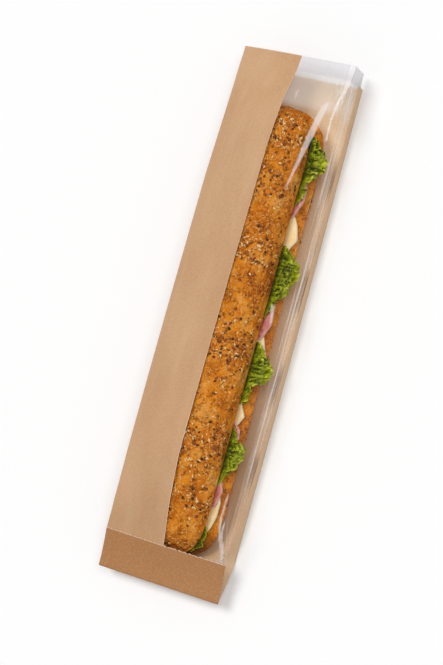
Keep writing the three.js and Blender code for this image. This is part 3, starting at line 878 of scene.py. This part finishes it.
def makeSeeds(materials):
    chance = random.Random(11)
    points, faces, kinds, tones = [], [], [], []
    for kind, (name, seed) in enumerate(seedMix.items()):
        made = 0
        while made < seed["count"]:
            y = chance.uniform(start + 6, end - 5)
            angle = chance.uniform(0.12, math.pi - 0.5)
            half = "top"
            if chance.random() < 0.1:
                half, angle = "bottom", chance.uniform(0.05, 0.8)
            crowd = max(math.exp(-((y - place) / width) ** 2) for place, width in seedPatches)
            patchy = 0.5 + 0.5 * fractal(angle * 18, y, 3, 9, 2, kind)
            share = (seed["spread"] + (1 - seed["spread"]) * crowd) * patchy
            if chance.random() > share * (0.25 + 0.75 * math.sin(angle)):
                continue
            normal = bunNormal(half, y, angle)
            heading = Vector((chance.uniform(-1, 1), chance.uniform(-1, 1), chance.uniform(-1, 1)))
            longAxis = (heading - normal * heading.dot(normal)).normalized()
            tilt = chance.uniform(-0.25, 0.25)
            longAxis = (longAxis + normal * tilt).normalized()
            wideAxis = normal.cross(longAxis).normalized()
            scale = chance.uniform(0.75, 1.1)
            size = [side * scale for side in seed["size"]]
            centre = bunPoint(half, y, angle) - normal * (0.35 + 0.25 * chance.random())
            facesBefore, pointsBefore = len(faces), len(points)
            addSeed(points, faces, centre, (longAxis, wideAxis, longAxis.cross(wideAxis)), size)
            kinds += [kind] * (len(faces) - facesBefore)
            tones += [chance.random() ** 1.5] * (len(points) - pointsBefore)
            made += 1
    piece = makePiece("baked_seeds", points, faces, materials)
    vertexValue(piece, "seedTone", tones)
    piece.data.polygons.foreach_set("material_index", kinds)


# Filling: cheese, ham and lettuce, with the outlines that stick out past the top half

fillingLook = {
    "cheese": {
        "paste": {"sizeMm": 9, "detail": 2, "stops": [(0.35, "#F0CB86"), (0.65, "#FADDA4")]},
        "rim": {"colour": "#F6E9CC"},
    },
    "ham": {
        "grain": {"sizeMm": 1.6, "stretch": (1, 0.5, 1),
                  "stops": [(0.35, "#A64A40"), (0.55, "#BD6054"), (0.72, "#D6897E")]},
        "rim": {"colour": "#E3B3A6"},
    },
    "lettuce": {
        # paler at the frill edge, with painted light and shade: bright crests, dark folds and lower layers
        "crest": {"stops": [
            (0.08, "#3C4202"), (0.28, "#686F03"), (0.5, "#8E9906"), (0.75, "#AEB615"), (1.0, "#CED244")]},
        "mottle": {"sizeMm": 2.2, "detail": 4, "roughness": 0.65, "colour": "#5C6402",
                   "stops": [(0.4, "#707070"), (0.56, "#000000")]},
    },
}
sliceLayers = {
    "cheese": {"height": 1.3, "thickness": 1.9},
    "ham": {"height": 3.3, "thickness": 1.3},
    "lettuce": {"height": 4.8, "thickness": 0.5},
}
sliceShape = {"left": -16, "rowMm": 1.2, "columns": 14, "hamRaggedMm": 0.6, "hamWaveMm": 0.35}
cheeseOutlines = [
    [(43, 20), (47, 25.5), (54, 29.5), (63, 32), (73, 32.5), (81, 30.5), (87, 26), (106, 22)],
    [(107, 22), (126, 25), (133, 29), (141, 33), (150, 28), (168, 22)],
    [(169, 22), (180, 31), (189, 36), (200, 32), (212, 27), (240, 22)],
    [(241, 22), (262, 24), (270, 31), (279, 36), (290, 33), (300, 27), (360, 20)],
]
hamOutlines = [
    [(52, 21), (64, 25), (72, 30), (82, 32.5), (92, 30), (100, 25), (108, 22)],
    [(109, 22), (116, 30), (124, 34), (131, 33), (138, 25), (176, 22)],
    [(177, 22), (196, 24), (203, 31), (212, 34.5), (222, 34), (232, 28), (262, 22)],
    [(263, 20), (290, 24), (298, 30), (308, 33.5), (318, 33.5), (330, 30), (345, 23), (362, 18)],
]


def outlineAt(outline, y):
    for a, b in zip(outline, outline[1:]):
        if y <= b[0]:
            return blend(a[1], b[1], (y - a[0]) / (b[0] - a[0]))
    return outline[-1][1]


def pressedCheese():
    # Young semi-hard cheese, sliced by machine: smooth, waxy and slightly see-through at the edge.
    material = newMaterial("pressedCheese")
    colour = layColours(material, fillingLook["cheese"])[0]
    shader = addNode(
        material, "ShaderNodeBsdfPrincipled",
        {"Roughness": 0.42, "Subsurface Weight": 0.15, "Subsurface Scale": 0.5,
         "Subsurface Radius": (0.004, 0.002, 0.001)},
        {"Base Color": colour})
    addNode(material, "ShaderNodeOutputMaterial", links={"Surface": shader})
    return material


def cookedHam():
    # Cooked ham, sliced thin: moist pink with paler grain.
    material = newMaterial("cookedHam")
    colour, patterns = layColours(material, fillingLook["ham"])
    bump = addNode(material, "ShaderNodeBump", {"Distance": 0.2 * mm}, {"Height": patterns["grain"]})
    shader = addNode(
        material, "ShaderNodeBsdfPrincipled",
        {"Roughness": 0.38, "Subsurface Weight": 0.1, "Subsurface Scale": 0.3,
         "Subsurface Radius": (0.004, 0.001, 0.001)},
        {"Base Color": colour, "Normal": bump})
    addNode(material, "ShaderNodeOutputMaterial", links={"Surface": shader})
    return material


def frillyLeaf():
    # Fresh curly lettuce: waxy leaf, paler green at the frill edge, with painted light and shade: bright
    # crests, dark folds and darker lower layers.
    material = newMaterial("frillyLeaf")
    colour, patterns = layColours(material, fillingLook["lettuce"])
    bump = addNode(material, "ShaderNodeBump", {"Distance": 0.5 * mm}, {"Height": patterns["mottle"]})
    shader = addNode(
        material, "ShaderNodeBsdfPrincipled", {"Roughness": 0.5, "Specular IOR Level": 0.15},
        {"Base Color": colour, "Normal": bump})
    addNode(material, "ShaderNodeOutputMaterial", links={"Surface": shader})
    return material


def makeSlice(kind, index, outline, material, replaced):
    layer = sliceLayers[kind]
    steps = int((outline[-1][0] - outline[0][0]) / sliceShape["rowMm"])
    columns = sliceShape["columns"]
    rows, rim = [], []
    for row in range(steps + 1):
        y = blend(outline[0][0], outline[-1][0], row / steps)
        right = outlineAt(outline, y)
        if kind == "ham":
            right += sliceShape["hamRaggedMm"] * fractal(0, y, index, 7, 3, 5)
        left = sliceShape["left"] * bunWidth(y)
        line = []
        for column in range(columns + 1):
            t = (column / columns) ** 0.6
            x = blend(left, right, t)
            z = cutHeight(y) + layer["height"]
            if kind == "ham":
                z += sliceShape["hamWaveMm"] * smoothStep(27, 31, x) * fractal(x, y, index, 9, 2, 6)
            line.append((x, y, z))
            rim.append(0.9 if column == columns else 0.0)
        rows.append(line)
    points = [p for line in rows for p in line]
    piece = makePiece(
        f"{kind}_{index + 1}", points, gridFaces(len(rows), columns + 1), [material], replaced)
    vertexValue(piece, "rim", rim)
    solid = piece.modifiers.new("thickness", "SOLIDIFY")
    solid.thickness = layer["thickness"] * mm
    solid.offset = 0


# each leaf's edge as distance along the bag and reach to the right
leafEdges = [
    [(32, 19), (37, 25), (44, 28), (51, 29), (58, 22)],
    [(85, 26), (91, 31), (97, 33), (102, 38), (110, 41), (117, 41), (121, 35), (127, 33), (133, 27)],
    [(148, 27), (154, 33), (160, 32), (167, 36), (174, 44), (182, 45), (187, 39), (192, 36), (198, 30)],
    [(216, 27), (223, 33), (230, 34), (237, 39), (245, 41), (253, 45), (260, 44), (265, 37), (273, 29)],
    [(303, 28), (310, 32), (317, 33), (323, 33), (328, 38), (334, 43), (340, 44), (346, 40), (352, 34),
     (358, 28)],
]
leafFrill = {
    "layers": [(0, 0), (2.2, 1.3), (4.6, 2.4), (1.0, -1.2)],  # set back and lift of each layer
    "ruffleMm": 7.5,
    "curlMm": 3.3,
    "height": 1.9,
}


def makeLettuce(index, outline, material):
    # frilled layers, each waving more towards its edge
    first, last = outline[0][0], outline[-1][0]
    points, faces, crest = [], [], []
    along, across = int((last - first) / 0.42), 26
    for layer, (setBack, lift) in enumerate(leafFrill["layers"]):
        base = len(points)
        for row in range(along + 1):
            y = blend(first, last, row / along)
            reach = outlineAt(outline, y) - setBack * smoothStep(0, 4, min(y - first, last - y))
            reach += 2.6 * fractal(layer * 5, y, index, 4.2, 3, 7)
            inner = min(baguette["topRight"] - 5, reach - 4)
            ruffle = 2 * math.pi * y / leafFrill["ruffleMm"] + layer * 2.3
            ruffle += 5 * fractal(layer * 9, y, index, 9, 2, 8)
            for column in range(across + 1):
                t = column / across
                x = blend(inner, reach, t)
                frill = smoothStep(baguette["topRight"], baguette["topRight"] + 5, x)
                wave = math.sin(ruffle + 2.2 * fractal(x, y, layer * 9, 6, 2, 9))
                curl = math.sin(5 * fractal(x, y, layer * 7, leafFrill["curlMm"], 2, 12) + x * 0.9)
                bump = fractal(x, y, layer * 4, 2.4, 2, 13)
                droop = smoothStep(baguette["bottomRight"] + 1, baguette["bottomRight"] + 11, x) * 5
                z = cutHeight(y) + sliceLayers["lettuce"]["height"] + lift * frill - droop
                z += frill * (leafFrill["height"] * (wave + 0.8) + 0.7 * curl + 0.9 * bump)
                sideways = frill * (1.2 * math.cos(ruffle) + 0.7 * curl)
                points.append((x + frill * (0.6 * curl + 0.6 * bump), y + sideways, z))
                # painted light and shade: bright on the crests, dark in the folds and on the lower layers;
                # the frill edge itself is paler green
                shade = 0.27 + frill * (0.24 + 0.2 * wave + 0.14 * curl + 0.3 * bump)
                shade += 0.34 * smoothStep(0.78, 1, t)
                crest.append(shade - 0.14 * layer * (lift > 0) - 0.1 * (lift < 0))
        faces += gridFaces(along + 1, across + 1, base)
    piece = makePiece(
        f"lettuce_frill_{index + 1}", points, faces, [material], f"lettuce_leaf_{index + 1}")
    vertexValue(piece, "crest", crest)


# Build the pieces
makeKraft(machineGlazedKraft())
print("paper made")
makeFilm(clearCastFilm())
print("film made")
crust, crumb = bakedCrust(), openCrumb()
makeBun("bottom", crust, crumb, "bread_bottom")
makeBun("top", crust, crumb, "bread_top")
print("baguette made")
makeSeeds([seedShell(name + "Shell", seed) for name, seed in seedMix.items()])
print("seeds made")
cheese, ham, leaf = pressedCheese(), cookedHam(), frillyLeaf()
for i, outline in enumerate(cheeseOutlines):
    makeSlice("cheese", i, outline, cheese, f"cheese_slice_{i + 1}")
for i, outline in enumerate(hamOutlines):
    makeSlice("ham", i, outline, ham, f"ham_slice_{i + 1}")
for i, outline in enumerate(leafEdges):
    makeLettuce(i, outline, leaf)
print("filling made")


# Floor, lamps and world
studio = {
    "floorHalf": 25,  # metres, so that the board fills the picture from low down too
    "floorDrop": 0.0002,
    "floor": "#F4F4F4",
    "glow": 0.055,  # added for the camera alone, so that the floor shows white and keeps its shadow
    "skyStrength": 0.35,
    # two broad lamps: strength, softness in degrees and the direction they shine from
    "lamps": {"front": (0.92, 32, (0.34, 0.26, 0.92)), "left": (1.45, 24, (-0.32, 0.26, 0.91))},
}


def mattBoard():
    # Matt white studio board: an even ground that keeps the shadow.
    material = newMaterial("mattBoard")
    plain = addNode(material, "ShaderNodeBsdfPrincipled", {"Base Color": studio["floor"], "Roughness": 0.9})
    camera, transmission, glossy = [
        addNode(material, "ShaderNodeLightPath", output=f"Is {ray} Ray")
        for ray in ("Camera", "Transmission", "Glossy")]
    through = addNode(material, "ShaderNodeMath", {"operation": "MAXIMUM"}, {0: camera, 1: transmission})
    seen = addNode(material, "ShaderNodeMath", {"operation": "MAXIMUM"}, {0: through, 1: glossy})
    strength = addNode(material, "ShaderNodeMath", {"operation": "MULTIPLY", 1: studio["glow"]}, {0: seen})
    glow = addNode(material, "ShaderNodeEmission", links={"Strength": strength})
    both = addNode(material, "ShaderNodeAddShader", links={0: plain, 1: glow})
    addNode(material, "ShaderNodeOutputMaterial", links={"Surface": both})
    return material


def makeStudio():
    mesh = bpy.data.meshes.new("floor")
    half = studio["floorHalf"]
    corners = [(-half, -half, 0), (half, -half, 0), (half, half, 0), (-half, half, 0)]
    mesh.from_pydata(corners, [], [(0, 1, 2, 3)])
    floor = bpy.data.objects.new("floor", mesh)
    floor.location.z = -studio["floorDrop"]
    mesh.materials.append(mattBoard())
    bpy.context.collection.objects.link(floor)
    world = bpy.data.worlds.new("studio")
    bpy.context.scene.world = world
    world.use_nodes = True
    background = world.node_tree.nodes["Background"]
    background.inputs["Color"].default_value = (1, 1, 1, 1)
    background.inputs["Strength"].default_value = studio["skyStrength"]
    for name, (strength, softness, shineFrom) in studio["lamps"].items():
        lamp = bpy.data.lights.new(name, "SUN")
        lamp.energy = strength
        lamp.angle = math.radians(softness)
        lampPiece = bpy.data.objects.new(name, lamp)
        lampPiece.rotation_euler = Vector(shineFrom).to_track_quat("Z", "Y").to_euler()
        bpy.context.collection.objects.link(lampPiece)
    bpy.context.scene.view_settings.view_transform = "Standard"


makeStudio()
print("studio made")
